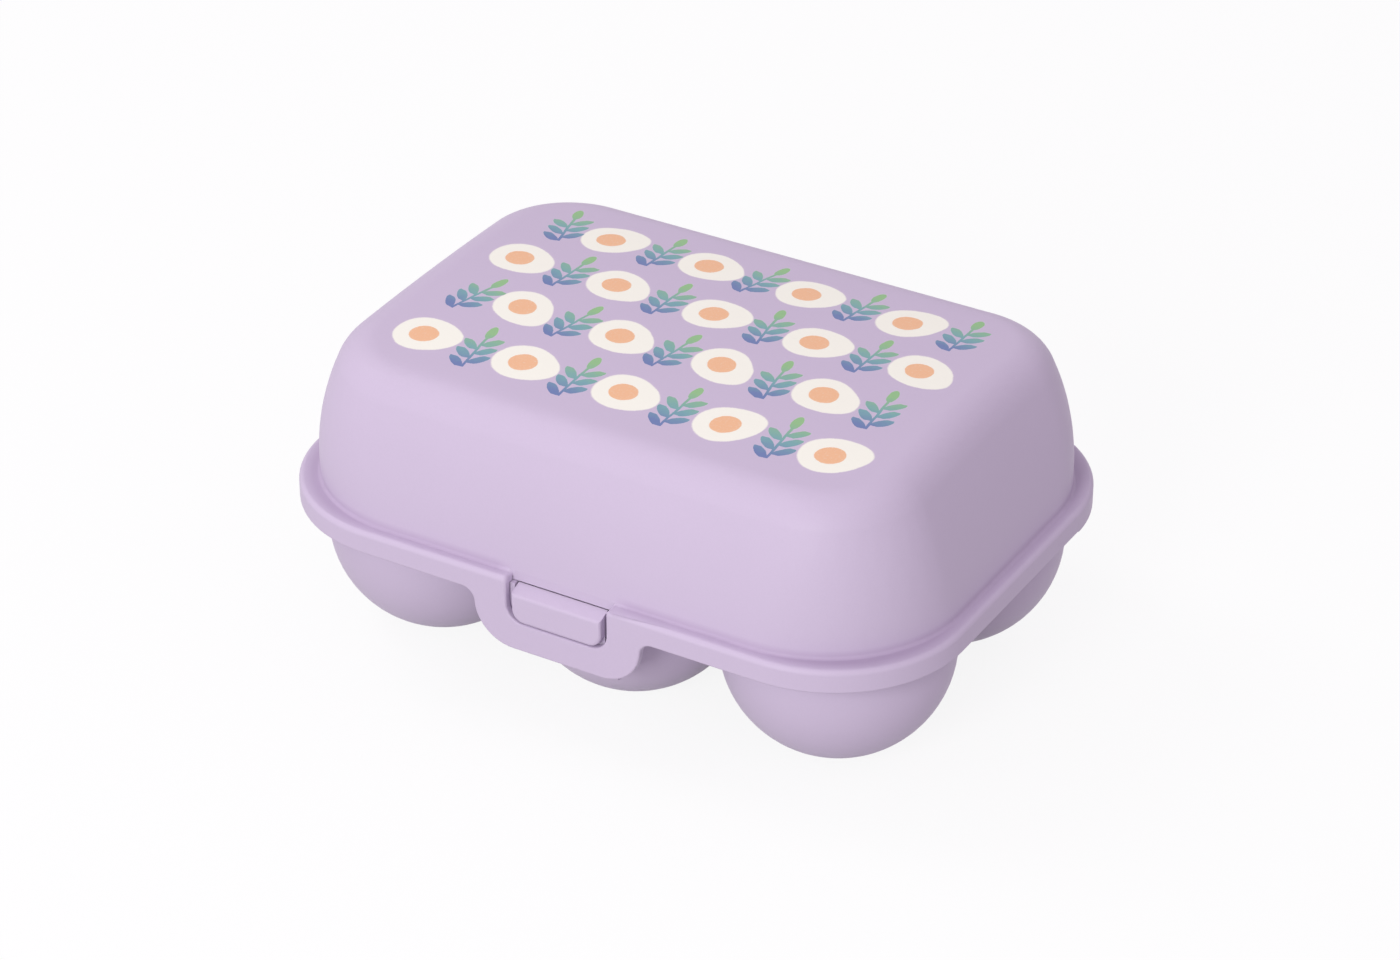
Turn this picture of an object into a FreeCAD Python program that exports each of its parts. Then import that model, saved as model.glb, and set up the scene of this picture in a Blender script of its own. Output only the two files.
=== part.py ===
import FreeCAD, Part
import os
import re
import Sketcher

doc = FreeCAD.newDocument("egg_box")
ORIGIN = FreeCAD.Vector(0, 0, 0)
FULL_TURN = 360.0
DIAGONAL_SHARE = 0.5 ** 0.5
TOUCH = 1e-4
BOW_SECTIONS = 4

# Egg box for six eggs. +X runs along the box, -Y is the latch side, +Z is up, and the cups' feet
# stand on z = 0 with the origin midway between them.

DRIVING_SIZES = [
    ("cup_bore_radius", 23.7, "inside radius of an egg cup"),
    ("cup_wall", 1.8, "wall of a cup"),
    ("cup_foot_radius", 7.2, "flat foot under a cup"),
    ("cup_straight", 10.8, "upright wall from a cup's widest level to the deck"),
    ("cup_web_long", 2.4, "web between two mouths along the box"),
    ("cup_web_cross", 3.2, "web between two mouths across the box"),
    ("cup_columns", 3, "cups along the box"),
    ("cup_rows", 2, "cups across the box"),
    ("mouth_chamfer", 0.8, "broken edge of a cup's mouth"),
    ("end_margin", 6.5, "from a cup's mouth to the end of the rim"),
    ("side_margin", 9.2, "from a cup's mouth to the side of the rim"),
    ("rim_corner_radius", 31.0, "corner of the rim, seen from above"),
    ("deck_thickness", 1.6, "deck that carries the cups"),
    ("tray_rim_depth", 1.4, "stiffening rim below the deck"),
    ("tray_rim_wall", 1.6, "wall of that rim"),
    ("rim_clearance", 0.5, "tray rim to the inside of the lid's skirt"),
    ("seat_gap", 0.2, "deck to the underside of the lid's ledge"),
    ("ledge_width", 3.2, "flat ledge round the foot of the lid"),
    ("ledge_thickness", 1.8, "thickness of the ledge"),
    ("skirt_height", 5.4, "outside height of the skirt with the ledge"),
    ("skirt_wall", 1.6, "wall of the skirt and of the tongue"),
    ("rim_edge_round", 1.2, "rounded upper edge of the skirt"),
    ("lid_rise", 34.6, "ledge to the top of the crown"),
    ("lid_crown", 3.0, "how far the top bulges across the box"),
    ("lid_bow_radius", 80.0, "bulge of the lid's walls, seen from the side"),
    ("lid_foot_lean", 2.6, "lean of the walls at the ledge in degrees"),
    ("lid_foot_corner", 32.0, "corner of the dome at the ledge, seen from above"),
    ("lid_top_corner", 19.4, "corner of the dome at its top, before the shoulder is rounded"),
    ("lid_shoulder_radius", 10.0, "round between walls and top"),
    ("lid_foot_round", 0.8, "fillet between walls and ledge"),
    ("lid_wall", 1.8, "wall of the lid"),
    ("tongue_width", 41.0, "latch tongue of the skirt"),
    ("tongue_drop", 11.8, "tongue below the skirt"),
    ("tongue_corner_radius", 9.5, "lower corners of the tongue"),
    ("tongue_root_radius", 3.0, "hollow corners where tongue and skirt meet"),
    ("tongue_sill", 6.8, "height of the bar under the window"),
    ("window_side_gap", 1.4, "button to the side of the window"),
    ("window_corner_radius", 4.0, "lower corners of the window"),
    ("button_width", 22.0, "press button"),
    ("button_proud", 0.2, "button in front of the tongue"),
    ("button_sill_gap", 0.3, "button to the bar under it"),
    ("button_top_gap", 0.3, "top of the button to the lid above it"),
    ("button_top_fall", 1.3, "fall of the button's top towards the front"),
    ("button_corner_radius", 3.0, "lower corners of the button"),
    ("button_edge_round", 0.8, "edge round the button's face"),
    ("lever_thickness", 1.4, "leaf that carries the button"),
    ("lever_gap", 0.3, "leaf to the back of the tongue"),
    ("lever_bend_round", 1.8, "outer round of the leaf's bend"),
    ("pivot_setback", 2.5, "front of the leaf back to the pivot"),
    ("pivot_below", 0.5, "pivot below the tongue's lower edge"),
    ("trunnion_radius", 1.1, "pivot stubs of the latch"),
    ("trunnion_clearance", 0.05, "running fit of the stubs"),
    ("latch_swing", 13.0, "travel of the latch in degrees"),
    ("ear_thickness", 2.0, "ears that hold the latch"),
    ("ear_gap", 0.3, "leaf to an ear"),
    ("ear_round", 2.1, "ear round the pivot"),
    ("notch_room", 0.3, "pressed latch to the deck"),
    ("hinge_span", 50.0, "between the middles of the two hinges"),
    ("knuckle_radius", 3.0, "hinge barrel"),
    ("knuckle_drop", 0.7, "barrel below the skirt"),
    ("knuckle_gap", 0.3, "between neighbouring barrels"),
    ("lid_knuckle_length", 12.0, "barrel on the lid"),
    ("tray_knuckle_length", 6.0, "barrel on the tray"),
    ("pin_radius", 1.0, "hinge pin"),
    ("pin_press_fit", 0.01, "pin in the tray's barrels"),
    ("pin_running_fit", 0.05, "pin in the lid's barrel"),
    ("pin_chamfer", 0.25, "broken edge at the ends of a pin"),
    ("cut_overrun", 1.0, "how far a cut runs past the wall that it opens"),
]

DERIVED_SIZES = [
    ("cup_outer_radius", "cup_bore_radius + cup_wall"),
    ("cup_pitch_long", "2 * cup_bore_radius + cup_web_long"),
    ("cup_pitch_cross", "2 * cup_bore_radius + cup_web_cross"),
    ("cup_end", "cup_pitch_long * (cup_columns - 1) / 2"),
    ("cup_side", "cup_pitch_cross * (cup_rows - 1) / 2"),
    ("cup_middle_height", "sqrt(cup_outer_radius ^ 2 - cup_foot_radius ^ 2)"),
    ("rim_length", "2 * (cup_end + cup_bore_radius + end_margin)"),
    ("rim_width", "2 * (cup_side + cup_bore_radius + side_margin)"),
    ("deck_top", "cup_middle_height + cup_straight"),
    ("tray_inset", "skirt_wall + rim_clearance"),
    ("tray_rim_bottom", "deck_top - deck_thickness - tray_rim_depth"),
    ("ledge_under", "deck_top + seat_gap"),
    ("ledge_top", "ledge_under + ledge_thickness"),
    ("skirt_bottom", "ledge_top - skirt_height"),
    ("lid_top", "ledge_top + lid_rise"),
    ("foot_length", "rim_length - 2 * ledge_width"),
    ("foot_width", "rim_width - 2 * ledge_width"),
    ("crown_radius", "(foot_width / 2) ^ 2 / (2 * lid_crown)"),
    ("corner_taper", "(lid_foot_corner - lid_top_corner) / lid_rise"),
    ("tongue_bottom", "skirt_bottom - tongue_drop"),
    ("window_bottom", "tongue_bottom + tongue_sill"),
    ("window_width", "button_width + 2 * window_side_gap"),
    ("front_face", "rim_width / 2"),
    ("lever_front", "front_face - skirt_wall - lever_gap"),
    ("lever_back", "lever_front - lever_thickness"),
    ("button_front", "front_face + button_proud"),
    ("button_bottom", "window_bottom + button_sill_gap"),
    ("button_top", "ledge_under - button_top_gap"),
    ("pivot_y", "lever_front - pivot_setback"),
    ("pivot_z", "tongue_bottom - pivot_below"),
    ("ear_inside", "button_width / 2 + ear_gap"),
    ("ear_outside", "ear_inside + ear_thickness"),
    ("ear_back", "cup_side + sqrt(cup_outer_radius ^ 2 - ear_outside ^ 2) - cup_wall / 2"),
    ("notch_back", "pivot_y - (button_top - pivot_z) * sin(latch_swing) "
                   "+ (lever_back - pivot_y) * cos(latch_swing) - notch_room"),
    ("hinge_y", "rim_width / 2 - knuckle_radius"),
    ("hinge_z", "skirt_bottom - knuckle_drop - knuckle_radius"),
    ("hinge_length", "lid_knuckle_length + 2 * (knuckle_gap + tray_knuckle_length)"),
    ("knuckle_pitch", "(lid_knuckle_length + tray_knuckle_length + 2 * knuckle_gap) / 2"),
]

sheet = doc.addObject("Spreadsheet::Sheet", "sizes")
ALIASES = {row[0] for row in DRIVING_SIZES} | {row[0] for row in DERIVED_SIZES}


def with_sheet(formula):
    return re.sub(r"[a-z_]+", lambda word: f"sizes.{word[0]}" if word[0] in ALIASES else word[0], formula)


for line, (alias, number, meaning) in enumerate(DRIVING_SIZES, start=1):
    sheet.set(f"A{line}", meaning)
    sheet.set(f"B{line}", str(number))
    sheet.setAlias(f"B{line}", alias)
for line, (alias, formula) in enumerate(DERIVED_SIZES, start=len(DRIVING_SIZES) + 1):
    sheet.set(f"A{line}", formula)
    sheet.set(f"B{line}", "=" + formula)
    sheet.setAlias(f"B{line}", alias)
doc.recompute()


def bind(item, target, formula):
    item.setExpression(target, with_sheet(formula))


def measure(formula):
    return float(sheet.evalExpression(with_sheet(formula)))


def near(value, formula):
    return abs(value - measure(formula)) < TOUCH


# Sketches and features

def new_body(name):
    return doc.addObject("PartDesign::Body", name)


def origin_item(body, role):
    return next(item for item in body.Origin.OriginFeatures if item.Role == role)


def new_sketch(body, name, plane, offsets):
    sketch = body.newObject("Sketcher::SketchObject", name)
    sketch.AttachmentSupport = (origin_item(body, plane), [""])
    sketch.MapMode = "FlatFace"
    for axis, formula in zip("xyz", offsets):
        bind(sketch, f"AttachmentOffset.Base.{axis}", formula)
    return sketch


def dimension(sketch, formula, kind, *picks):
    number = sketch.addConstraint(Sketcher.Constraint(kind, *picks, measure(formula)))
    bind(sketch, f"Constraints[{number}]", formula)


def joined(sketch, kind, *picks):
    sketch.addConstraint(Sketcher.Constraint(kind, *picks))


def closed_polygon(sketch, points):
    corners = [FreeCAD.Vector(measure(across), measure(up), 0) for across, up in points]
    for start, end in zip(corners, corners[1:] + corners[:1]):
        sketch.addGeometry(Part.LineSegment(start, end))
    for side, (across, up) in enumerate(points):
        joined(sketch, "Coincident", side, 1, (side - 1) % len(points), 2)
        for formula, kind in ((across, "DistanceX"), (up, "DistanceY")):
            if abs(measure(formula)) < TOUCH:
                joined(sketch, "PointOnObject", side, 1, -2 if kind == "DistanceX" else -1)
            else:
                dimension(sketch, formula, kind, -1, 1, side, 1)


def rectangle(sketch, length, width):
    half_l = measure(length) / 2
    half_w = measure(width) / 2
    signs = ((-1, -1), (1, -1), (1, 1), (-1, 1))
    corners = [FreeCAD.Vector(half_l * x, half_w * y, 0) for x, y in signs]
    for start, end in zip(corners, corners[1:] + corners[:1]):
        sketch.addGeometry(Part.LineSegment(start, end))
    for side in range(4):
        joined(sketch, "Coincident", side, 2, (side + 1) % 4, 1)
        joined(sketch, "Vertical" if side % 2 else "Horizontal", side)
    joined(sketch, "Symmetric", 0, 1, 2, 1, -1, 1)
    dimension(sketch, length, "DistanceX", 0, 1, 0, 2)
    dimension(sketch, width, "DistanceY", 1, 1, 1, 2)


def rounded_rectangle(sketch, length, width, radius):
    half_l = measure(length) / 2
    half_w = measure(width) / 2
    turn = measure(radius)
    up = FreeCAD.Vector(0, 0, 1)
    quarter = FULL_TURN / 4
    for step, (x, y) in enumerate(((1, 1), (-1, 1), (-1, -1), (1, -1))):
        centre = FreeCAD.Vector(x * (half_l - turn), y * (half_w - turn), 0)
        start = FreeCAD.Units.Quantity(step * quarter, "deg").getValueAs("rad").Value
        end = FreeCAD.Units.Quantity((step + 1) * quarter, "deg").getValueAs("rad").Value
        sketch.addGeometry(Part.ArcOfCircle(Part.Circle(centre, up, turn), start, end))
    corners = sketch.Geometry[:4]
    for corner, following in zip(corners, corners[1:] + corners[:1]):
        sketch.addGeometry(Part.LineSegment(corner.EndPoint, following.StartPoint))
    for arc in range(4):
        joined(sketch, "Tangent", arc, 2, arc + 4, 1)
        joined(sketch, "Tangent", arc + 4, 2, (arc + 1) % 4, 1)
        if arc:
            joined(sketch, "Equal", 0, arc)
    joined(sketch, "Horizontal", 4)
    joined(sketch, "Vertical", 5)
    joined(sketch, "Symmetric", 0, 3, 2, 3, -1, 1)
    dimension(sketch, radius, "Radius", 0)
    dimension(sketch, length + f" - 2 * ({radius})", "DistanceX", 4, 2, 4, 1)
    dimension(sketch, width + f" - 2 * ({radius})", "DistanceY", 5, 2, 5, 1)


def volume(body):
    return 0 if body.Shape.isNull() else body.Shape.Volume


def extrude(body, sketch, length, cut=False, lean=None):
    doc.recompute()
    before = volume(body)
    feature = body.newObject("PartDesign::Pocket" if cut else "PartDesign::Pad", sketch.Name + "_form")
    feature.Profile = sketch
    bind(feature, "Length", length)
    feature.Reversed = cut
    if lean:
        bind(feature, "TaperAngle", lean)
    doc.recompute()
    change = feature.Shape.Volume - before
    if (change > 0) == cut or abs(change) < TOUCH:
        raise RuntimeError(f"{feature.Name} changes the volume by {change}")
    return feature


def block(body, name, middle, start, across, deep, tall, cut=False):
    sketch = new_sketch(body, name, "XY_Plane", (middle[0], middle[1], start))
    rectangle(sketch, across, deep)
    return extrude(body, sketch, tall, cut)


def slab(body, name, start, tall, length, width, radius, cut=False, lean=None):
    sketch = new_sketch(body, name, "XY_Plane", ("0", "0", start))
    rounded_rectangle(sketch, length, width, radius)
    return extrude(body, sketch, tall, cut, lean)


def barrel(body, name, start, along, y, z, radius, cut=False):
    sketch = new_sketch(body, name, "YZ_Plane", (y, z, start))
    sketch.addGeometry(Part.Circle(ORIGIN, FreeCAD.Vector(0, 0, 1), measure(radius)))
    joined(sketch, "Coincident", 0, 3, -1, 1)
    dimension(sketch, radius, "Radius", 0)
    return extrude(body, sketch, along, cut)


def edges_where(feature, wanted):
    numbered = enumerate(feature.Shape.Edges, start=1)
    return [f"Edge{number}" for number, edge in numbered if wanted(edge.BoundBox)]


def break_edges(body, name, base, wanted, size, chamfer=False):
    picked = edges_where(base, wanted)
    if not picked:
        raise RuntimeError(f"{name} finds no edge")
    feature = body.newObject("PartDesign::Chamfer" if chamfer else "PartDesign::Fillet", name)
    feature.Base = (base, picked)
    bind(feature, "Size" if chamfer else "Radius", size)
    doc.recompute()
    return feature


def flat_at(low, high, formula):
    return near(low, formula) and near(high, formula)


# Lid: a dome with bowed walls and a crowned top over a ledge and a skirt

def crowned(body, name, wall):
    sketch = new_sketch(body, name, "YZ_Plane", ("0", "lid_top - crown_radius", "-rim_length / 2"))
    radius = f"crown_radius - ({wall})"
    reach = measure("front_face")
    curve = measure(radius)
    ceiling = measure("crown_radius + 2 * cut_overrun")
    shoulder = (curve ** 2 - reach ** 2) ** 0.5
    left = FreeCAD.Vector(-reach, shoulder, 0)
    right = FreeCAD.Vector(reach, shoulder, 0)
    sketch.addGeometry(Part.Arc(right, FreeCAD.Vector(0, curve, 0), left))
    outline = [left, FreeCAD.Vector(-reach, ceiling, 0), FreeCAD.Vector(reach, ceiling, 0), right]
    for start, end in zip(outline, outline[1:]):
        sketch.addGeometry(Part.LineSegment(start, end))
    joined(sketch, "Coincident", 0, 3, -1, 1)
    joined(sketch, "Coincident", 0, 2, 1, 1)
    joined(sketch, "Coincident", 1, 2, 2, 1)
    joined(sketch, "Coincident", 2, 2, 3, 1)
    joined(sketch, "Coincident", 3, 2, 0, 1)
    joined(sketch, "Vertical", 1)
    joined(sketch, "Horizontal", 2)
    joined(sketch, "Vertical", 3)
    dimension(sketch, radius, "Radius", 0)
    dimension(sketch, "front_face", "DistanceX", -1, 1, 2, 2)
    dimension(sketch, "2 * front_face", "DistanceX", 2, 1, 2, 2)
    dimension(sketch, "crown_radius + 2 * cut_overrun", "DistanceY", -1, 1, 2, 1)
    return extrude(body, sketch, "rim_length", cut=True)


def dome(body, name, start, wall):
    sections = []
    for number in range(BOW_SECTIONS):
        height = f"({start}) + (lid_rise + cut_overrun - ({start})) * {number} / {BOW_SECTIONS - 1}"
        swell = f"lid_bow_radius * sin(lid_foot_lean) + {height}"
        outside = f"sqrt(lid_bow_radius ^ 2 - ({swell}) ^ 2)"
        bow = f"sqrt((lid_bow_radius - ({wall})) ^ 2 - ({swell}) ^ 2)"
        inset = f"lid_bow_radius * cos(lid_foot_lean) - {bow}"
        corner = f"lid_foot_corner - corner_taper * ({height}) - ({outside} - {bow})"
        level = f"ledge_top + {height}"
        sketch = new_sketch(body, f"{name}_section_{number}", "XY_Plane", ("0", "0", level))
        rounded_rectangle(sketch, f"foot_length - 2 * ({inset})", f"foot_width - 2 * ({inset})", corner)
        sections.append(sketch)
    doc.recompute()
    loft = body.newObject("PartDesign::AdditiveLoft", name)
    loft.Profile = sections[0]
    loft.Sections = sections[1:]
    doc.recompute()
    crown = crowned(body, name + "_crown", wall)
    level = measure("lid_top - lid_wall - 2 * lid_crown")
    return break_edges(
        body, name + "_shoulder", crown, lambda box: box.ZMin > level, f"lid_shoulder_radius - ({wall})",
    )


def build_lid():
    body = new_body("lid_outside")
    slab(body, "rim", "skirt_bottom", "skirt_height", "rim_length", "rim_width", "rim_corner_radius")
    shoulder = dome(body, "dome", "0", "0")
    half_ledge = measure("ledge_width / 2")
    foot = measure("foot_length / 2") + half_ledge
    side = measure("foot_width / 2") + half_ledge

    def inside_ledge(box):
        return max(-box.XMin, box.XMax) < foot and max(-box.YMin, box.YMax) < side

    edge = break_edges(
        body, "rim_edge", shoulder,
        lambda box: flat_at(box.ZMin, box.ZMax, "ledge_top") and not inside_ledge(box), "rim_edge_round",
    )
    break_edges(
        body, "lid_foot", edge,
        lambda box: flat_at(box.ZMin, box.ZMax, "ledge_top") and inside_ledge(box), "lid_foot_round",
    )
    slab(
        body, "skirt_inside", "skirt_bottom", "ledge_under - skirt_bottom",
        "rim_length - 2 * skirt_wall", "rim_width - 2 * skirt_wall", "rim_corner_radius - skirt_wall",
        cut=True,
    )
    add_tongue(body)
    for side_name, sign in (("left", "-"), ("right", "")):
        middle = f"{sign}hinge_span / 2"
        block(
            body, f"tab_{side_name}", (middle, "(rim_width - skirt_wall) / 2"), "hinge_z",
            "lid_knuckle_length", "skirt_wall", "ledge_under - hinge_z",
        )
        start = f"{middle} - lid_knuckle_length / 2"
        barrel(
            body, f"barrel_{side_name}", start, "lid_knuckle_length", "hinge_y", "hinge_z", "knuckle_radius",
        )
        barrel(
            body, f"bore_{side_name}", start, "lid_knuckle_length", "hinge_y", "hinge_z",
            "pin_radius + pin_running_fit", cut=True,
        )
    cavity = new_body("lid_inside")
    dome(cavity, "hollow", "-ledge_thickness - cut_overrun", "lid_wall")
    shell = doc.addObject("Part::Cut", "lid_shell")
    shell.Base = body
    shell.Tool = cavity
    return shell


def add_tongue(body):
    tongue = block(
        body, "tongue", ("0", "-(rim_width - skirt_wall) / 2"), "tongue_bottom",
        "tongue_width", "skirt_wall", "ledge_under - tongue_bottom",
    )
    half = measure("tongue_width / 2")

    def tongue_edge(box, level):
        flat = flat_at(box.ZMin, box.ZMax, level) and abs(abs(box.XMin) - half) < TOUCH
        return flat and box.YMax < 0 and box.XMax - box.XMin < TOUCH

    corners = break_edges(
        body, "tongue_corners", tongue,
        lambda box: tongue_edge(box, "tongue_bottom"), "tongue_corner_radius",
    )
    break_edges(
        body, "tongue_roots", corners,
        lambda box: tongue_edge(box, "skirt_bottom"), "tongue_root_radius",
    )
    window = block(
        body, "window", ("0", "-(rim_width - ledge_width + cut_overrun) / 2"), "window_bottom",
        "window_width", "ledge_width + cut_overrun", "ledge_top + cut_overrun - window_bottom", cut=True,
    )
    half_window = measure("window_width / 2")
    break_edges(
        body, "window_corners", window,
        lambda box: flat_at(box.ZMin, box.ZMax, "window_bottom") and abs(abs(box.XMin) - half_window) < TOUCH
        and box.XMax - box.XMin < TOUCH,
        "window_corner_radius",
    )


# Tray: a deck with six cups, ears for the latch and barrels for the hinge

def cup_profile(body, name, floor, radius, top):
    sketch = new_sketch(body, name, "XZ_Plane", ("-cup_end", floor, "cup_side"))
    curve = measure(radius)
    middle = measure(f"cup_middle_height - ({floor})")
    ceiling = measure(f"({top}) - ({floor})")
    foot = (curve ** 2 - middle ** 2) ** 0.5
    lowest = FreeCAD.Vector(0, 0, 0)
    heel = FreeCAD.Vector(foot, 0, 0)
    equator = FreeCAD.Vector(curve, middle, 0)
    brim = FreeCAD.Vector(curve, ceiling, 0)
    axis_top = FreeCAD.Vector(0, ceiling, 0)
    halfway = FreeCAD.Vector(curve * DIAGONAL_SHARE, middle - curve * DIAGONAL_SHARE, 0)
    sketch.addGeometry(Part.LineSegment(lowest, heel))
    sketch.addGeometry(Part.Arc(heel, halfway, equator))
    for start, end in ((equator, brim), (brim, axis_top), (axis_top, lowest)):
        sketch.addGeometry(Part.LineSegment(start, end))
    joined(sketch, "Coincident", 0, 1, -1, 1)
    joined(sketch, "Coincident", 0, 2, 1, 1)
    joined(sketch, "Tangent", 1, 2, 2, 1)
    joined(sketch, "Coincident", 2, 2, 3, 1)
    joined(sketch, "Coincident", 3, 2, 4, 1)
    joined(sketch, "Coincident", 4, 2, 0, 1)
    joined(sketch, "Horizontal", 0)
    joined(sketch, "Vertical", 2)
    joined(sketch, "Horizontal", 3)
    joined(sketch, "Vertical", 4)
    joined(sketch, "PointOnObject", 1, 3, -2)
    dimension(sketch, radius, "Radius", 1)
    dimension(sketch, f"cup_middle_height - ({floor})", "DistanceY", -1, 1, 1, 3)
    dimension(sketch, f"({top}) - ({floor})", "DistanceY", -1, 1, 3, 2)
    doc.recompute()
    return sketch


def six_cups(body, sketch, kind):
    before = body.Shape.Volume
    turned = body.newObject(kind, sketch.Name + "_form")
    turned.Profile = sketch
    turned.ReferenceAxis = (sketch, ["V_Axis"])
    turned.Angle = FULL_TURN
    doc.recompute()
    one = turned.Shape.Volume - before
    grid = body.newObject("PartDesign::LinearPattern", sketch.Name + "_grid")
    grid.Originals = [turned]
    grid.Direction = (origin_item(body, "X_Axis"), [""])
    bind(grid, "Length", "2 * cup_end")
    bind(grid, "Occurrences", "cup_columns")
    grid.Direction2 = (origin_item(body, "Y_Axis"), [""])
    bind(grid, "Length2", "2 * cup_side")
    bind(grid, "Occurrences2", "cup_rows")
    body.Tip = grid
    doc.recompute()
    if abs(grid.Shape.Volume - before) <= abs(one):
        raise RuntimeError(f"{grid.Name} repeats nothing")
    return grid


def build_tray():
    body = new_body("base_tray")
    slab(
        body, "deck", "tray_rim_bottom", "deck_top - tray_rim_bottom",
        "rim_length - 2 * tray_inset", "rim_width - 2 * tray_inset", "rim_corner_radius - tray_inset",
    )
    slab(
        body, "deck_underside", "tray_rim_bottom", "tray_rim_depth",
        "rim_length - 2 * (tray_inset + tray_rim_wall)", "rim_width - 2 * (tray_inset + tray_rim_wall)",
        "rim_corner_radius - tray_inset - tray_rim_wall", cut=True,
    )
    add_ears(body)
    block(
        body, "latch_notch", ("0", "-(rim_width / 2 + notch_back) / 2"), "tray_rim_bottom",
        "2 * ear_inside", "rim_width / 2 - notch_back", "deck_top - tray_rim_bottom", cut=True,
    )
    add_tray_hinges(body)
    six_cups(body, cup_profile(body, "cup", "0", "cup_outer_radius", "deck_top"), "PartDesign::Revolution")
    cavities = six_cups(
        body, cup_profile(body, "cup_hollow", "cup_wall", "cup_bore_radius", "deck_top + cut_overrun"),
        "PartDesign::Groove",
    )
    break_edges(
        body, "mouths", cavities,
        lambda box: flat_at(box.ZMin, box.ZMax, "deck_top") and near(box.XLength, "2 * cup_bore_radius")
        and near(box.YLength, "2 * cup_bore_radius"),
        "mouth_chamfer", chamfer=True,
    )
    return body


def add_ears(body):
    front = "rim_width / 2 - tray_inset"
    bottom = "pivot_z - ear_round"
    for side_name, sign in (("left", "-"), ("right", "")):
        middle = f"{sign}(ear_inside + ear_outside) / 2"
        ear = block(
            body, f"ear_{side_name}", (middle, f"-({front} + ear_back) / 2"), bottom,
            "ear_thickness", f"{front} - ear_back", f"deck_top - ({bottom})",
        )
        place = measure(middle)
        break_edges(
            body, f"ear_{side_name}_end", ear,
            lambda box: flat_at(box.ZMin, box.ZMax, bottom) and flat_at(box.YMin, box.YMax, f"-({front})")
            and box.XMin < place < box.XMax,
            "ear_round",
        )
        barrel(
            body, f"ear_{side_name}_hole", f"{middle} - ear_thickness / 2", "ear_thickness",
            "-pivot_y", "pivot_z", "trunnion_radius + trunnion_clearance", cut=True,
        )


def add_tray_hinges(body):
    edge = "rim_width / 2 - tray_inset"
    for side_name, sign in (("left", "-"), ("right", "")):
        for end_name, away in (("outer", "-"), ("inner", "+")):
            name = f"{side_name}_{end_name}"
            middle = f"{sign}hinge_span / 2 {away} knuckle_pitch"
            block(
                body, f"bracket_{name}", (middle, f"({edge} + hinge_y - knuckle_radius) / 2"), "hinge_z",
                "tray_knuckle_length", f"{edge} - hinge_y + knuckle_radius", "deck_top - hinge_z",
            )
            start = f"{middle} - tray_knuckle_length / 2"
            barrel(
                body, f"knuckle_{name}", start, "tray_knuckle_length", "hinge_y", "hinge_z", "knuckle_radius",
            )
            # the square heel stops the lid when its skirt comes round
            block(
                body, f"heel_{name}", (middle, "hinge_y + knuckle_radius / 2"), "hinge_z - knuckle_radius",
                "tray_knuckle_length", "knuckle_radius", "knuckle_radius",
            )
            barrel(
                body, f"pin_hole_{name}", start, "tray_knuckle_length", "hinge_y", "hinge_z",
                "pin_radius + pin_press_fit", cut=True,
            )


# Latch: a button on a bent leaf that swings on two stubs

def build_latch():
    body = new_body("latch_button")
    offsets = ("-pivot_y", "pivot_z", "-button_width / 2")
    front = "pivot_y - button_front"
    face = "-pivot_setback"
    back = "lever_thickness - pivot_setback"
    sill = "button_bottom - pivot_z"
    top = "button_top - pivot_z"
    fall = "button_top_fall / (button_front - lever_back)"
    button = new_sketch(body, "button", "YZ_Plane", offsets)
    closed_polygon(button, [
        (front, sill),
        (face, sill),
        (face, f"{top} - {fall} * lever_thickness"),
        (front, f"{top} - button_top_fall"),
    ])
    pressed = extrude(body, button, "button_width")
    half = measure("button_width / 2")
    corners = break_edges(
        body, "button_corners", pressed,
        lambda box: flat_at(box.ZMin, box.ZMax, "button_bottom") and abs(abs(box.XMin) - half) < TOUCH
        and box.XLength < TOUCH,
        "button_corner_radius",
    )
    break_edges(
        body, "button_edge", corners,
        lambda box: flat_at(box.YMin, box.YMax, "-button_front"), "button_edge_round",
    )
    leaf = new_sketch(body, "leaf", "YZ_Plane", offsets)
    closed_polygon(leaf, [
        ("0", "-lever_thickness / 2"),
        ("0", "lever_thickness / 2"),
        (back, "lever_thickness / 2"),
        (back, top),
        (face, f"{top} - {fall} * lever_thickness"),
        (face, "-lever_thickness / 2"),
    ])
    bent = extrude(body, leaf, "button_width")
    low = "pivot_z - lever_thickness / 2"
    break_edges(
        body, "leaf_bend", bent,
        lambda box: flat_at(box.ZMin, box.ZMax, low) and flat_at(box.YMin, box.YMax, "-lever_front"),
        "lever_bend_round",
    )
    barrel(body, "stubs", "-ear_outside", "2 * ear_outside", "-pivot_y", "pivot_z", "trunnion_radius")
    return body


def build_pin(side_name, sign):
    body = new_body(f"hinge_pin_{side_name}")
    pin = barrel(
        body, f"pin_{side_name}", f"{sign}hinge_span / 2 - hinge_length / 2", "hinge_length",
        "hinge_y", "hinge_z", "pin_radius",
    )
    break_edges(
        body, f"pin_{side_name}_ends", pin, lambda box: box.XLength < TOUCH, "pin_chamfer", chamfer=True,
    )
    return body


pieces = {
    "lid_shell": build_lid(),
    "base_tray": build_tray(),
    "latch_button": build_latch(),
    "hinge_pin_left": build_pin("left", "-"),
    "hinge_pin_right": build_pin("right", ""),
}
doc.recompute()

for item in doc.Objects:
    if "Invalid" in item.State or "Error" in item.State:
        raise RuntimeError(f"{item.Name}: {item.State}")
for node, piece in pieces.items():
    piece.Label = node
    piece.Placement = FreeCAD.Placement()
    if piece.Shape.isNull() or not piece.Shape.isValid() or len(piece.Shape.Solids) != 1:
        raise RuntimeError(f"{node} is not one valid solid")

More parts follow.
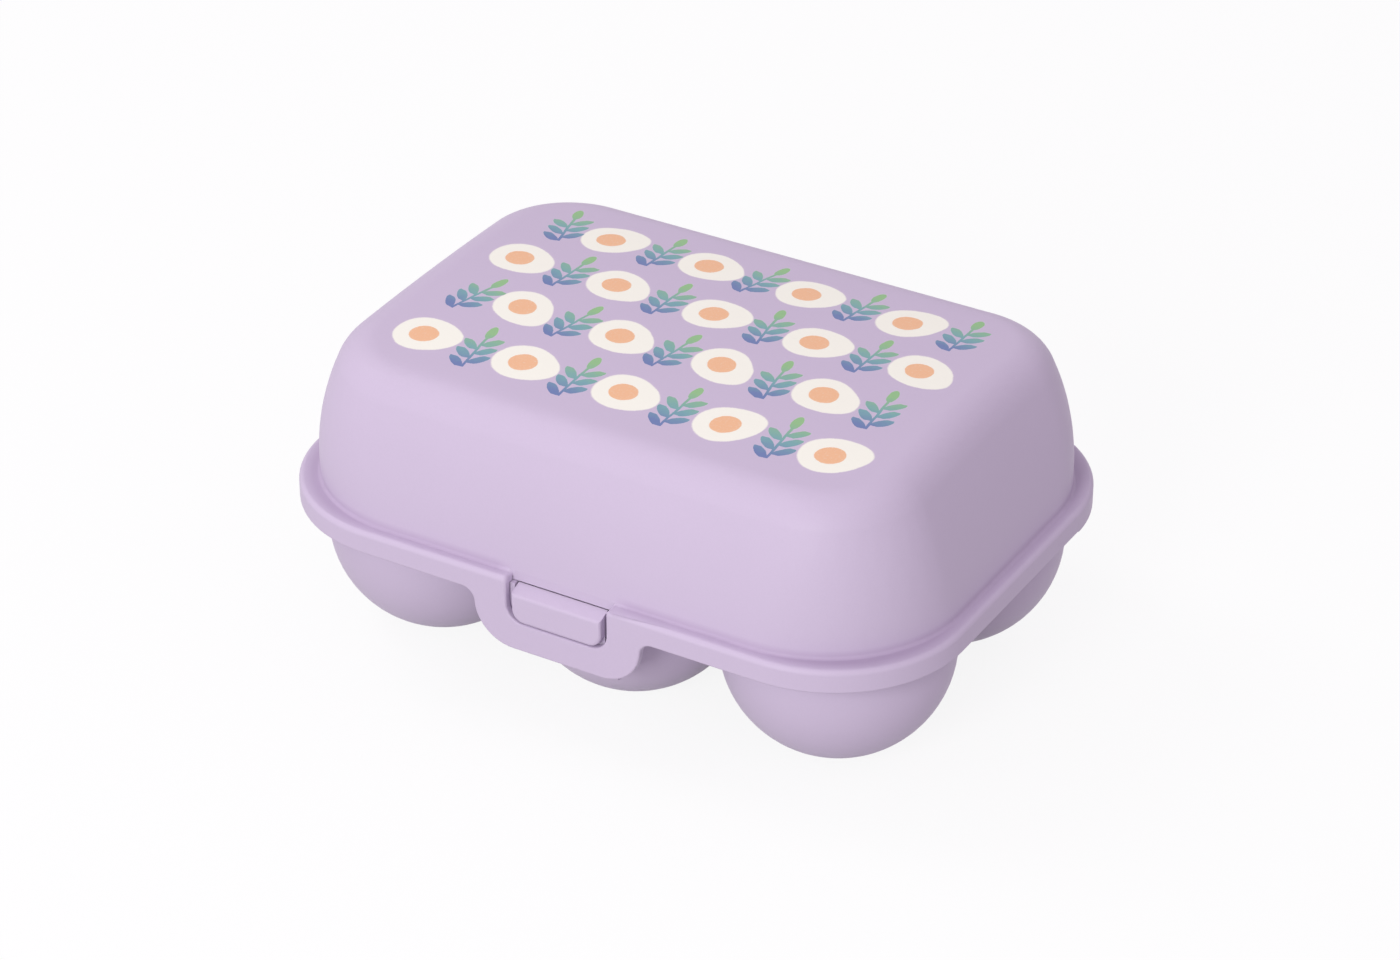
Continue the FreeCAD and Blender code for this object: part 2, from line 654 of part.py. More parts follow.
os.makedirs("parts", exist_ok=True)
for node, piece in pieces.items():
    piece.Shape.exportStep(f"parts/{node}.step")
    box = piece.Shape.optimalBoundingBox()
    print(f"{node}: {piece.Shape.Volume:.0f} mm3, x {box.XMin:.2f} {box.XMax:.2f}, "
          f"y {box.YMin:.2f} {box.YMax:.2f}, z {box.ZMin:.2f} {box.ZMax:.2f}")
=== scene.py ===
import math
import bpy
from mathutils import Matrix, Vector


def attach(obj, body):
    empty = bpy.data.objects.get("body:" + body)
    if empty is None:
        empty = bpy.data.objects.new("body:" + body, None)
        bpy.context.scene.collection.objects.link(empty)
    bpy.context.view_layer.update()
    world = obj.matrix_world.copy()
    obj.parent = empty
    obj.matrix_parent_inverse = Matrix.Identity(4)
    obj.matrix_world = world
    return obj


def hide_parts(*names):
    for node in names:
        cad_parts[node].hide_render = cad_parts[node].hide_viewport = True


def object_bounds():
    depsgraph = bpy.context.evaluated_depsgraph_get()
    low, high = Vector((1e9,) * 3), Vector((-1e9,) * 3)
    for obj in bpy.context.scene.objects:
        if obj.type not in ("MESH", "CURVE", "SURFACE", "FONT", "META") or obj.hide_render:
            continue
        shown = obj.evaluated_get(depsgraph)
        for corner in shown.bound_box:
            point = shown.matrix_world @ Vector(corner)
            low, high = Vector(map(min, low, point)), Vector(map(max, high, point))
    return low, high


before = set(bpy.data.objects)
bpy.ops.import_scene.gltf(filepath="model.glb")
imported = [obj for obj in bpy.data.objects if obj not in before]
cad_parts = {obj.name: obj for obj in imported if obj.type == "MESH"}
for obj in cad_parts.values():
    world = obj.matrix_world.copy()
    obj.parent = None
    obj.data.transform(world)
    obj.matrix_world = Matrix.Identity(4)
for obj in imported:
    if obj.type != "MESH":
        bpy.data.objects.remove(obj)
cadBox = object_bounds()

print("frame loaded:", ", ".join(sorted(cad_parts)))


# Node helpers

def addNode(tree, kind, **settings):
    node = tree.nodes.new(kind)
    for name, value in settings.items():
        setattr(node, name, value)
    return node


def feed(tree, socket, value):
    if isinstance(value, bpy.types.NodeSocket):
        tree.links.new(value, socket)
    else:
        socket.default_value = value


def calc(tree, operation, *values):
    node = addNode(tree, "ShaderNodeMath", operation=operation)
    for socket, value in zip(node.inputs, values):
        feed(tree, socket, value)
    return node.outputs[0]


def product(tree, first, *others):
    for value in others:
        first = calc(tree, "MULTIPLY", first, value)
    return first


# a value from 0 to 1 turned into a swing to both sides of nought
def aboutMiddle(tree, value, share):
    return calc(tree, "MULTIPLY", calc(tree, "SUBTRACT", value, 0.5), share)


def blendColor(tree, factor, under, over):
    node = addNode(tree, "ShaderNodeMix", data_type="RGBA")
    feed(tree, node.inputs["Factor"], factor)
    feed(tree, node.inputs[6], under)  # the colour sockets come after those for numbers and vectors
    feed(tree, node.inputs[7], over)
    return node.outputs[2]


def span(tree, value, low, high, toLow, toHigh):
    node = addNode(tree, "ShaderNodeMapRange")
    for name, number in (("From Min", low), ("From Max", high), ("To Min", toLow), ("To Max", toHigh)):
        node.inputs[name].default_value = number
    feed(tree, node.inputs["Value"], value)
    return node.outputs["Result"]


def noise(tree, vector, scale, detail=2.0, roughness=0.5):
    node = addNode(tree, "ShaderNodeTexNoise")
    feed(tree, node.inputs["Vector"], vector)
    feed(tree, node.inputs["Scale"], scale)
    node.inputs["Detail"].default_value = detail
    node.inputs["Roughness"].default_value = roughness
    return node.outputs["Fac"]


def splitPlace(tree, place):
    node = addNode(tree, "ShaderNodeSeparateXYZ")
    feed(tree, node.inputs[0], place)
    return node.outputs


def addBump(tree, shader, height, strength, depth):
    node = addNode(tree, "ShaderNodeBump")
    node.inputs["Strength"].default_value = strength
    node.inputs["Distance"].default_value = depth
    feed(tree, node.inputs["Height"], height)
    feed(tree, shader.inputs["Normal"], node.outputs["Normal"])


def newGroup(name, inputs, outputs):
    tree = bpy.data.node_groups.new(name, "ShaderNodeTree")
    for label, kind, value in inputs:
        socket = tree.interface.new_socket(label, in_out="INPUT", socket_type=kind)
        socket.default_value = value
    for label, kind in outputs:
        tree.interface.new_socket(label, in_out="OUTPUT", socket_type=kind)
    source = addNode(tree, "NodeGroupInput").outputs
    target = addNode(tree, "NodeGroupOutput").inputs
    return tree, source, target


def placeGroup(tree, group, **values):
    node = addNode(tree, "ShaderNodeGroup", node_tree=group)
    for label, value in values.items():
        feed(tree, node.inputs[label], value)
    return node.outputs


def newMaterial(name):
    material = bpy.data.materials.new(name)
    material.use_nodes = True
    tree = material.node_tree
    return material, tree, tree.nodes["Principled BSDF"]


# screen tones of 0 to 255 as the linear colours that sockets hold
def tone(red, green, blue):
    def linear(value):
        share = value / 255
        return share / 12.92 if share <= 0.04045 else ((share + 0.055) / 1.055) ** 2.4
    return (linear(red), linear(green), linear(blue), 1.0)


# Moulded plastic: satin, a fine spark-eroded grain and slow drifts of tone

plasticLook = {
    "color": tone(205, 192, 214), "drift": 0.05, "roughness": 0.5, "specular": 0.25,
    "cloudScale": 22.0, "cloudDetail": 3.0, "cloudMatt": 0.1,
    "grain": 2600.0, "grainDetail": 3.0, "grainMatt": 0.22, "fleck": 0.05,
    "rippleScale": 160.0, "rippleDetail": 1.0, "rippleShare": 0.6,
    "bump": 0.12, "bumpDepth": 0.00006,
}


def plasticGroup():
    look = plasticLook
    tree, source, target = newGroup(
        "mouldedPlastic",
        [("Color", "NodeSocketColor", look["color"]), ("Drift", "NodeSocketFloat", look["drift"]),
         ("Grain", "NodeSocketFloat", look["grain"]), ("Roughness", "NodeSocketFloat", look["roughness"])],
        [("Color", "NodeSocketColor"), ("Roughness", "NodeSocketFloat"), ("Height", "NodeSocketFloat")],
    )
    place = addNode(tree, "ShaderNodeTexCoord").outputs["Object"]
    cloud = noise(tree, place, look["cloudScale"], look["cloudDetail"])
    grain = noise(tree, place, source["Grain"], look["grainDetail"])
    ripple = noise(tree, place, look["rippleScale"], look["rippleDetail"])

    shade = addNode(tree, "ShaderNodeHueSaturation")
    lift = aboutMiddle(tree, cloud, source["Drift"])
    fleck = aboutMiddle(tree, grain, look["fleck"])
    feed(tree, shade.inputs["Value"], calc(tree, "ADD", calc(tree, "ADD", lift, fleck), 1.0))
    feed(tree, shade.inputs["Color"], source["Color"])
    feed(tree, target["Color"], shade.outputs["Color"])

    matt = aboutMiddle(tree, grain, look["grainMatt"])
    slow = aboutMiddle(tree, cloud, look["cloudMatt"])
    feed(tree, target["Roughness"], calc(tree, "ADD", calc(tree, "ADD", matt, slow), source["Roughness"]))
    wave = calc(tree, "MULTIPLY", ripple, look["rippleShare"])
    feed(tree, target["Height"], calc(tree, "ADD", wave, grain))
    return tree


plastic = plasticGroup()


def plasticMaterial(name):
    look = plasticLook
    material, tree, shader = newMaterial(name)
    outputs = placeGroup(
        tree, plastic, Color=look["color"], Drift=look["drift"], Grain=look["grain"],
        Roughness=look["roughness"],
    )
    feed(tree, shader.inputs["Base Color"], outputs["Color"])
    feed(tree, shader.inputs["Roughness"], outputs["Roughness"])
    addBump(tree, shader, outputs["Height"], look["bump"], look["bumpDepth"])
    shader.inputs["Specular IOR Level"].default_value = look["specular"]
    return material


# Print on the lid: egg halves in staggered rows with a herb sprig between neighbours, in millimetres

printLook = {
    "perMetre": 1000.0, "upward": 0.5, "edge": 0.05,
    "cellAcross": 25.0, "cellDeep": 19.0, "reachAcross": 62.0, "rowsEachWay": 2,
    "eggLong": 7.9, "eggShort": 6.3, "eggTaper": 0.02, "eggTurn": 1.3,
    "yolkLong": 3.3, "yolkShort": 3.102, "yolkShift": 1.0,
    "sprigFoot": -7.4, "sprigTip": 5.2, "sprigTurn": 0.5, "stem": 0.32,
    "leafPairs": 3, "leafPitch": 3.5, "leafOut": 2.3, "leafLong": 2.7, "leafShort": 1.15, "leafLean": 0.75,
    "tipLeafLong": 2.5, "tipLeafShort": 1.15, "tipLeafMiddle": 6.95,
    "wobble": 0.7, "wobbleScale": 0.16, "rough": 0.22, "roughScale": 2.2, "shakeApart": 41.0,
    "washFrom": -5.9, "washTo": 9.7, "washScale": 0.6, "washDetail": 4.0, "washSpread": 3.0,
    "blue": tone(112, 130, 178), "blueAt": 0.08, "teal": tone(124, 172, 176), "tealAt": 0.45,
    "green": tone(150, 196, 140), "greenAt": 0.92,
    "cream": tone(252, 253, 238), "apricot": tone(245, 193, 150), "apricotPale": tone(246, 214, 186),
    "dabScale": 1.7, "dabDetail": 4.0, "dabRoughness": 0.7, "dabFrom": 0.55, "dabTo": 0.68, "dabShare": 0.75,
}


def insideEllipse(tree, across, up, halfAcross, halfUp):
    first = calc(tree, "POWER", calc(tree, "DIVIDE", across, halfAcross), 2.0)
    second = calc(tree, "POWER", calc(tree, "DIVIDE", up, halfUp), 2.0)
    reach = calc(tree, "ADD", first, second)
    return span(tree, reach, 1.0 - printLook["edge"], 1.0 + printLook["edge"], 1.0, 0.0)


def turned(tree, across, up, cosine, sine):
    newAcross = calc(tree, "ADD", product(tree, across, cosine), product(tree, up, sine))
    newUp = calc(tree, "SUBTRACT", product(tree, up, cosine), product(tree, across, sine))
    return newAcross, newUp


def printGroup():
    look = printLook
    tree, source, target = newGroup(
        "lidPrint", [("Vector", "NodeSocketVector", (0, 0, 0))],
        [("Color", "NodeSocketColor"), ("Ink", "NodeSocketFloat")],
    )
    scaled = addNode(tree, "ShaderNodeVectorMath", operation="SCALE")
    scaled.inputs["Scale"].default_value = look["perMetre"]
    feed(tree, scaled.inputs[0], source["Vector"])
    flat = addNode(tree, "ShaderNodeVectorMath", operation="MULTIPLY")
    flat.inputs[1].default_value = (1, 1, 0)
    feed(tree, flat.inputs[0], scaled.outputs[0])
    place = flat.outputs[0]

    # hand-cut outlines: each axis is shaken by its own noise
    def shaken(apart):
        moved = addNode(tree, "ShaderNodeVectorMath", operation="ADD")
        moved.inputs[1].default_value = (apart, apart, 0)
        feed(tree, moved.inputs[0], place)
        slow = aboutMiddle(tree, noise(tree, moved.outputs[0], look["wobbleScale"]), look["wobble"])
        fast = aboutMiddle(tree, noise(tree, moved.outputs[0], look["roughScale"]), look["rough"])
        return calc(tree, "ADD", slow, fast)

    split = splitPlace(tree, place)
    across = calc(tree, "ADD", split["X"], shaken(0.0))
    deep = calc(tree, "ADD", split["Y"], shaken(look["shakeApart"]))

    # rows lie half a cell to each side of the middle, and every other row is set half a cell along
    row = calc(tree, "FLOOR", calc(tree, "DIVIDE", deep, look["cellDeep"]))
    half = calc(tree, "MULTIPLY", calc(tree, "PINGPONG", row, 1.0), look["cellAcross"] / 2)
    level = calc(tree, "ADD", row, 0.5)
    up = calc(tree, "SUBTRACT", deep, calc(tree, "MULTIPLY", level, look["cellDeep"]))
    withinRows = calc(tree, "LESS_THAN", calc(tree, "ABSOLUTE", level), look["rowsEachWay"])

    # distance from the middle of the nearest cell, a chance swing for it, and whether it is printed
    def cell(offset):
        shifted = calc(tree, "ADD", calc(tree, "ADD", split["X"], half), offset)
        column = calc(tree, "ROUND", calc(tree, "DIVIDE", shifted, look["cellAcross"]))
        middle = calc(tree, "SUBTRACT", calc(tree, "MULTIPLY", column, look["cellAcross"]), half)
        middle = calc(tree, "SUBTRACT", middle, offset)
        kept = calc(tree, "LESS_THAN", calc(tree, "ABSOLUTE", middle), look["reachAcross"] - look["eggLong"])
        key = addNode(tree, "ShaderNodeCombineXYZ")
        for socket, value in zip(key.inputs, (column, row, offset)):
            feed(tree, socket, value)
        chance = addNode(tree, "ShaderNodeTexWhiteNoise")
        feed(tree, chance.inputs["Vector"], key.outputs[0])
        printed = product(tree, kept, withinRows)
        return calc(tree, "SUBTRACT", across, middle), chance.outputs["Value"], printed

    # egg half
    eggAcross, chance, eggKept = cell(0.0)
    angle = aboutMiddle(tree, chance, look["eggTurn"])
    eggU, eggV = turned(tree, eggAcross, up, calc(tree, "COSINE", angle), calc(tree, "SINE", angle))
    narrowing = calc(tree, "SUBTRACT", 1.0, calc(tree, "MULTIPLY", eggU, look["eggTaper"]))
    belly = calc(tree, "MULTIPLY", narrowing, look["eggShort"])
    egg = product(tree, insideEllipse(tree, eggU, eggV, look["eggLong"], belly), eggKept)
    yolkU = calc(tree, "ADD", eggU, look["yolkShift"])
    yolk = product(tree, insideEllipse(tree, yolkU, eggV, look["yolkLong"], look["yolkShort"]), eggKept)

    # herb sprig: leaves in pairs, those on the left half a pitch lower
    sprigAcross, chance, sprigKept = cell(look["cellAcross"] / 2)
    lean = aboutMiddle(tree, chance, look["sprigTurn"])
    sprigU, sprigV = turned(tree, sprigAcross, up, calc(tree, "COSINE", lean), calc(tree, "SINE", lean))
    side = calc(tree, "ABSOLUTE", sprigU)
    leftShift = calc(tree, "MULTIPLY", calc(tree, "LESS_THAN", sprigU, 0.0), look["leafPitch"] / 2)
    along = calc(tree, "SUBTRACT", calc(tree, "ADD", sprigV, leftShift), look["sprigFoot"])
    leafIndex = calc(tree, "ROUND", calc(tree, "DIVIDE", along, look["leafPitch"]))
    leafV = calc(tree, "SUBTRACT", along, calc(tree, "MULTIPLY", leafIndex, look["leafPitch"]))
    leafU, leafW = turned(
        tree, calc(tree, "SUBTRACT", side, look["leafOut"]), leafV,
        math.cos(look["leafLean"]), math.sin(look["leafLean"]),
    )
    leaf = product(
        tree, insideEllipse(tree, leafU, leafW, look["leafLong"], look["leafShort"]),
        calc(tree, "GREATER_THAN", leafIndex, 0.5),
        calc(tree, "LESS_THAN", leafIndex, look["leafPairs"] + 0.5),
    )
    stem = product(
        tree, calc(tree, "LESS_THAN", side, look["stem"]),
        calc(tree, "GREATER_THAN", sprigV, look["sprigFoot"]),
        calc(tree, "LESS_THAN", sprigV, look["sprigTip"]),
    )
    tipV = calc(tree, "SUBTRACT", sprigV, look["tipLeafMiddle"])
    tip = insideEllipse(tree, sprigU, tipV, look["tipLeafShort"], look["tipLeafLong"])
    sprig = product(tree, calc(tree, "MAXIMUM", calc(tree, "MAXIMUM", leaf, stem), tip), sprigKept)

    # the sprig's ink runs from blue at the foot to green at the tip
    ramp = addNode(tree, "ShaderNodeValToRGB")
    tones = ramp.color_ramp.elements
    tones[0].color = look["blue"]
    tones[0].position = look["blueAt"]
    tones[1].color = look["green"]
    tones[1].position = look["greenAt"]
    tones.new(look["tealAt"]).color = look["teal"]
    wash = noise(tree, place, look["washScale"], look["washDetail"])
    washed = calc(tree, "ADD", sprigV, calc(tree, "MULTIPLY", wash, look["washSpread"]))
    feed(tree, ramp.inputs["Fac"], span(tree, washed, look["washFrom"], look["washTo"], 0.0, 1.0))

    # the apricot ink is dabbed on and lets paler dots through
    dabs = noise(tree, place, look["dabScale"], look["dabDetail"], look["dabRoughness"])
    dabs = span(tree, dabs, look["dabFrom"], look["dabTo"], 0.0, look["dabShare"])
    apricot = blendColor(tree, dabs, look["apricot"], look["apricotPale"])
    color = blendColor(tree, yolk, look["cream"], apricot)
    feed(tree, target["Color"], blendColor(tree, sprig, color, ramp.outputs["Color"]))
    feed(tree, target["Ink"], calc(tree, "MAXIMUM", egg, sprig))
    return tree


# Lid: the rim in plan is a rounded rectangle with the latch window in the middle of its front

lidRim = {"halfAcross": 0.08, "halfDeep": 0.0582, "corner": 0.031, "windowHalf": 0.0124}

# painted shade: the ledge is darkened towards the foot of the wall, where the wall shades the groove; the
# mask comes from depth behind the rim's outline, and height above the ledge
paintedGrooveShade = {
    "outer": 0.0006, "foot": 0.0031, "inner": 0.0064, "low": 0.0371, "fadeFrom": 0.0374, "high": 0.0394,
    "windowFade": 0.0165, "share": 0.62, "color": tone(177, 158, 187),
}


# mask of the painted shade along the groove, fading out beside the latch window
def paintedShadeShare(tree, place):
    look = paintedGrooveShade
    split = splitPlace(tree, place)
    sideways = calc(tree, "ABSOLUTE", split["X"])
    across = calc(tree, "SUBTRACT", sideways, lidRim["halfAcross"] - lidRim["corner"])
    deep = calc(tree, "SUBTRACT", calc(tree, "ABSOLUTE", split["Y"]), lidRim["halfDeep"] - lidRim["corner"])
    squares = [calc(tree, "POWER", calc(tree, "MAXIMUM", side, 0.0), 2.0) for side in (across, deep)]
    rounded = calc(tree, "SQRT", calc(tree, "ADD", *squares))
    straight = calc(tree, "MINIMUM", calc(tree, "MAXIMUM", across, deep), 0.0)
    inset = calc(tree, "SUBTRACT", lidRim["corner"], calc(tree, "ADD", rounded, straight))
    return product(
        tree, span(tree, inset, look["outer"], look["foot"], 0.0, look["share"]),
        span(tree, sideways, lidRim["windowHalf"], look["windowFade"], 0.0, 1.0),
        calc(tree, "LESS_THAN", inset, look["inner"]),
        span(tree, split["Z"], look["fadeFrom"], look["high"], 1.0, 0.0),
        calc(tree, "GREATER_THAN", split["Z"], look["low"]),
    )


def lidMaterial():
    material = plasticMaterial("lidPlastic")
    tree = material.node_tree
    shader = tree.nodes["Principled BSDF"]
    bare = shader.inputs["Base Color"].links[0].from_socket
    place = addNode(tree, "ShaderNodeTexCoord").outputs
    outputs = placeGroup(tree, printGroup(), Vector=place["Object"])
    facing = splitPlace(tree, place["Normal"])
    upper = calc(tree, "GREATER_THAN", facing["Z"], printLook["upward"])  # no print on the walls or inside
    ink = product(tree, outputs["Ink"], upper)
    # the plastic's colour with painted shade in the groove at the foot of the wall
    ground = blendColor(tree, paintedShadeShare(tree, place["Object"]), bare, paintedGrooveShade["color"])
    feed(tree, shader.inputs["Base Color"], blendColor(tree, ink, ground, outputs["Color"]))
    return material


# Hinge pins: steel wire, streaked along its length by drawing

steelLook = {
    "dark": tone(196, 196, 200), "bright": tone(222, 222, 226), "drawn": (60.0, 9000.0, 9000.0),
    "detail": 3.0, "streakFrom": 0.2, "streakTo": 0.8, "smooth": 0.24, "rough": 0.42,
    "bump": 0.15, "bumpDepth": 0.00002,
}


def steelMaterial():
    look = steelLook
    material, tree, shader = newMaterial("pinSteel")
    drawn = addNode(tree, "ShaderNodeMapping")
    drawn.inputs["Scale"].default_value = look["drawn"]
    feed(tree, drawn.inputs["Vector"], addNode(tree, "ShaderNodeTexCoord").outputs["Object"])
    streak = noise(tree, drawn.outputs[0], 1.0, look["detail"])
    matt = span(tree, streak, look["streakFrom"], look["streakTo"], look["smooth"], look["rough"])
    feed(tree, shader.inputs["Base Color"], blendColor(tree, streak, look["dark"], look["bright"]))
    feed(tree, shader.inputs["Roughness"], matt)
    shader.inputs["Metallic"].default_value = 1.0
    addBump(tree, shader, streak, look["bump"], look["bumpDepth"])
    return material


# Pieces: the solids' own forms, welded and shaded as smooth mouldings

mouldLook = {"weld": 0.000002, "sharpAngle": math.radians(32)}


def selectSharpEdges(angle):
    bpy.ops.object.mode_set(mode="EDIT")
    bpy.ops.mesh.select_mode(type="EDGE")
    bpy.ops.mesh.select_all(action="DESELECT")
    bpy.ops.mesh.edges_select_sharp(sharpness=angle)


def mouldedCopy(nodeName, pieceName, material, body, prepare=None):
    bpy.ops.object.select_all(action="DESELECT")
    piece = bpy.data.objects.new(pieceName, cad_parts[nodeName].data.copy())
    bpy.context.scene.collection.objects.link(piece)
    bpy.context.view_layer.objects.active = piece
    piece.select_set(True)
    bpy.ops.object.mode_set(mode="EDIT")
    bpy.ops.mesh.select_all(action="SELECT")
    bpy.ops.mesh.remove_doubles(threshold=mouldLook["weld"])
    bpy.ops.object.mode_set(mode="OBJECT")
    if prepare:
        prepare(piece)
    bpy.ops.mesh.customdata_custom_splitnormals_clear()
    bpy.ops.object.shade_smooth(keep_sharp_edges=False)
    selectSharpEdges(mouldLook["sharpAngle"])
    bpy.ops.mesh.mark_sharp()
    bpy.ops.object.mode_set(mode="OBJECT")
    evenNormals = piece.modifiers.new("evenNormals", "WEIGHTED_NORMAL")
    evenNormals.keep_sharp = True
    bpy.ops.object.modifier_apply(modifier=evenNormals.name)
    piece.data.materials.clear()
    piece.data.materials.append(material)
    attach(piece, body)
    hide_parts(nodeName)
    print(pieceName, "stands for", nodeName, "with", len(piece.data.polygons), "faces")


# the lugs that carry the button are trimmed below so that the tongue hides them
lugLook = {
    "near": 0.0108, "far": 0.0138, "front": -0.05, "pivotDeep": -0.0538, "pivotHigh": 0.0195624,
    "bore": 0.0015, "share": 0.7,
}


def trimLugs(piece):
    trim = 1 - lugLook["share"]
    for corner in piece.data.vertices:
        place = corner.co
        deep = place.y - lugLook["pivotDeep"]
        high = place.z - lugLook["pivotHigh"]
        atLug = lugLook["near"] < abs(place.x) < lugLook["far"] and place.y < lugLook["front"]
        if atLug and high < 0 and math.hypot(deep, high) > lugLook["bore"]:
            place.y -= min(deep, 0) * trim
            place.z -= high * trim


# the skirt's lower edge, the tongue and the window have softly broken edges, rounder beside the window
lidLook = {
    "ledgeUnder": 0.0355, "skirtFoot": 0.0318624, "touch": 0.00002, "upright": 0.01,
    "flatAngle": math.radians(0.2), "cornerAngle": math.radians(50),
    "edgeRound": 0.0009, "skirtShare": 0.5, "steps": 3,
}


def onOutline(place):
    across = abs(place.x) - lidRim["halfAcross"] + lidRim["corner"]
    deep = abs(place.y) - lidRim["halfDeep"] + lidRim["corner"]
    reach = math.hypot(max(across, 0), max(deep, 0)) + min(max(across, deep), 0)
    return abs(reach - lidRim["corner"]) < lidLook["touch"]


def onStraight(places):
    endHalf = lidRim["halfDeep"] - lidRim["corner"] + lidLook["touch"]
    frontHalf = lidRim["halfAcross"] - lidRim["corner"] + lidLook["touch"]
    alongEnd = all(abs(place.y) < endHalf for place in places)
    alongFront = all(abs(place.x) < frontHalf for place in places)
    return alongEnd or (alongFront and places[0].y < 0)


def lidFlatFace(normal, places):
    upright = abs(normal.z) < lidLook["upright"] and all(onOutline(place) for place in places)
    atFoot = all(abs(place.z - lidLook["skirtFoot"]) < lidLook["touch"] for place in places)
    return upright or (atFoot and onStraight(places))


def lidSoftness(place):
    touch = lidLook["touch"]
    atWindow = abs(abs(place.x) - lidRim["windowHalf"]) < touch and place.z > lidLook["ledgeUnder"]
    if atWindow and place.y < 0:
        return 1.0
    beforeHinge = place.y < lidRim["halfDeep"] - lidRim["corner"] + touch
    footOrFront = place.z < lidLook["skirtFoot"] + touch or place.y < touch - lidRim["halfDeep"]
    return lidLook["skirtShare"] if onOutline(place) and beforeHinge and footOrFront else 0.0


def softenLid(piece):
    bpy.ops.object.mode_set(mode="EDIT")
    bpy.ops.mesh.select_mode(type="FACE")
    bpy.ops.mesh.select_all(action="DESELECT")
    bpy.ops.object.mode_set(mode="OBJECT")
    corners = piece.data.vertices
    for face in piece.data.polygons:
        face.select = lidFlatFace(face.normal, [corners[number].co for number in face.vertices])
    bpy.ops.object.mode_set(mode="EDIT")
    bpy.ops.mesh.dissolve_limited(angle_limit=lidLook["flatAngle"])
    selectSharpEdges(lidLook["cornerAngle"])
    bpy.ops.object.mode_set(mode="OBJECT")
    corners = piece.data.vertices
    weights = piece.data.attributes.new("bevel_weight_edge", "FLOAT", "EDGE")
    for edge in piece.data.edges:
        shares = [lidSoftness(corners[number].co) for number in edge.vertices]
        weights.data[edge.index].value = min(shares) if edge.select else 0.0
    rounding = piece.modifiers.new("rounding", "BEVEL")
    rounding.limit_method = "WEIGHT"
    rounding.width = lidLook["edgeRound"]
    rounding.segments = lidLook["steps"]
    rounding.use_clamp_overlap = False
    bpy.ops.object.modifier_apply(modifier=rounding.name)


mouldedCopy("lid_shell", "lidMoulding", lidMaterial(), "lid", softenLid)
mouldedCopy("base_tray", "trayMoulding", plasticMaterial("trayPlastic"), "base", trimLugs)
mouldedCopy("latch_button", "latchMoulding", plasticMaterial("latchPlastic"), "latch")

pinSteel = steelMaterial()
for nodeName in ("hinge_pin_left", "hinge_pin_right"):
    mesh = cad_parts[nodeName].data
    mesh.materials.clear()
    mesh.materials.append(pinSteel)
print("hinge pins finished in drawn steel")


# Studio: a white floor, a soft lamp in front, a weaker one above on the left, and an even surround

studio = {
    "white": (1, 1, 1, 1), "floorHalf": 4.0, "floorColor": (0.6, 0.6, 0.6, 1), "whiteShare": 0.88,
    "surround": 0.56, "surroundColor": (1.08, 0.97, 1.1, 1),
    "lamps": {
        "frontLight": {"place": (0.11, -1.26, 0.63), "size": 0.6, "power": 8.6},
        "topLight": {"place": (-0.85, -0.05, 1.05), "size": 0.6, "power": 3.2},
    },
}


# floor and surround show white to the eye and in reflections, and light the box with their own tones
def seenDirectly(tree):
    path = addNode(tree, "ShaderNodeLightPath").outputs
    seen = calc(tree, "MAXIMUM", path["Is Camera Ray"], path["Is Glossy Ray"])
    return calc(tree, "MAXIMUM", seen, path["Is Transmission Ray"])


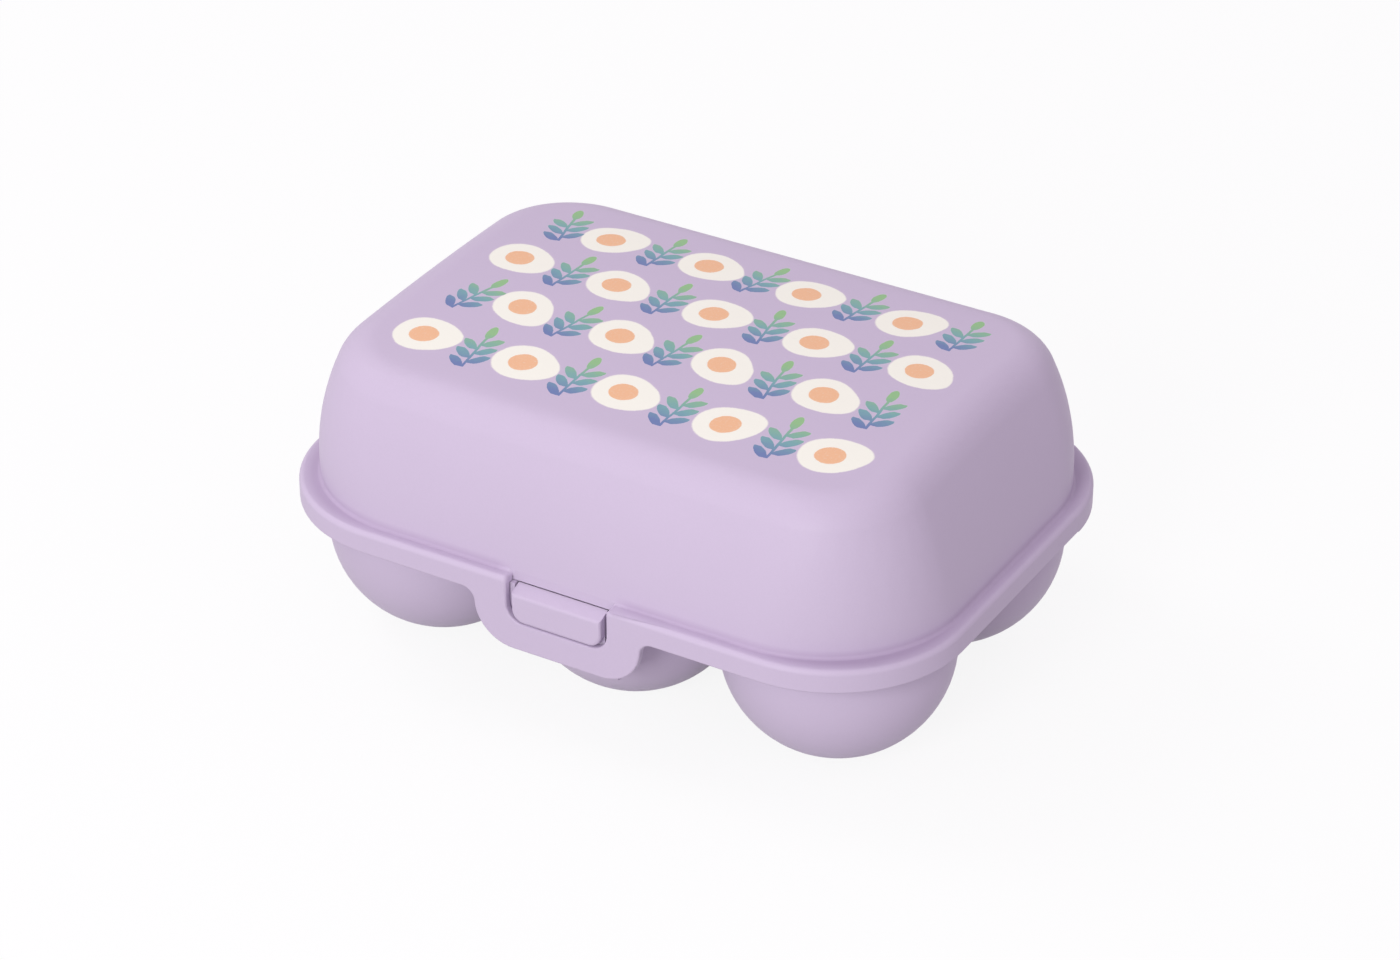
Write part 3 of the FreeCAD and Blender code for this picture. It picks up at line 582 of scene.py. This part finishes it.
def buildFloor():
    bpy.ops.object.select_all(action="DESELECT")
    bpy.ops.mesh.primitive_plane_add(size=2 * studio["floorHalf"], location=(0, 0, 0))
    floor = bpy.context.object
    floor.name = "studioFloor"
    material = bpy.data.materials.new("studioWhite")
    material.use_nodes = True
    tree = material.node_tree
    tree.nodes.clear()
    seen = seenDirectly(tree)
    matt = addNode(tree, "ShaderNodeBsdfDiffuse")
    feed(tree, matt.inputs["Color"], blendColor(tree, seen, studio["floorColor"], studio["white"]))
    glow = addNode(tree, "ShaderNodeEmission")
    mix = addNode(tree, "ShaderNodeMixShader")
    feed(tree, mix.inputs[0], calc(tree, "MULTIPLY", seen, studio["whiteShare"]))
    feed(tree, mix.inputs[1], matt.outputs[0])
    feed(tree, mix.inputs[2], glow.outputs[0])
    feed(tree, addNode(tree, "ShaderNodeOutputMaterial").inputs["Surface"], mix.outputs[0])
    floor.data.materials.append(material)


def buildSurround():
    world = bpy.data.worlds.new("studioSurround")
    bpy.context.scene.world = world
    world.use_nodes = True
    tree = world.node_tree
    seen = seenDirectly(tree)
    back = tree.nodes["Background"]
    feed(tree, back.inputs["Color"], blendColor(tree, seen, studio["surroundColor"], studio["white"]))
    feed(tree, back.inputs["Strength"], span(tree, seen, 0.0, 1.0, studio["surround"], 1.0))


def buildLamps():
    middle = (cadBox[0] + cadBox[1]) / 2
    for name, look in studio["lamps"].items():
        lamp = bpy.data.objects.new(name, bpy.data.lights.new(name, "AREA"))
        lamp.data.shape = "DISK"
        lamp.data.size = look["size"]
        lamp.data.energy = look["power"]
        lamp.location = look["place"]
        lamp.rotation_euler = (middle - lamp.location).to_track_quat("-Z", "Y").to_euler()
        bpy.context.scene.collection.objects.link(lamp)


# Camera: found by fitting the solids' outline to the photograph

cameraLook = {
    "azimuth": 30.416, "elevation": 31.327, "distance": 0.938, "lens": 110.03, "sensor": 36.0, "near": 0.01,
    "aim": (0.0, 0.0, 0.037), "across": 0.000903, "above": -0.001865,
}


def buildCamera():
    turn = math.radians(cameraLook["azimuth"])
    rise = math.radians(cameraLook["elevation"])
    back = Vector((math.sin(turn) * math.cos(rise), -math.cos(turn) * math.cos(rise), math.sin(rise)))
    right = Vector((math.cos(turn), math.sin(turn), 0))
    above = back.cross(right)
    aim = Vector(cameraLook["aim"]) + right * cameraLook["across"] + above * cameraLook["above"]
    camera = bpy.data.objects.new("studioCamera", bpy.data.cameras.new("studioCamera"))
    camera.data.lens = cameraLook["lens"]
    camera.data.sensor_width = cameraLook["sensor"]
    camera.data.clip_start = cameraLook["near"]
    camera.location = aim + back * cameraLook["distance"]
    camera.rotation_euler = (-back).to_track_quat("-Z", "Y").to_euler()
    bpy.context.scene.collection.objects.link(camera)
    bpy.context.scene.camera = camera


buildFloor()
buildSurround()
buildLamps()
buildCamera()
bpy.context.scene.view_settings.view_transform = "Standard"
print("studio, light and camera set")
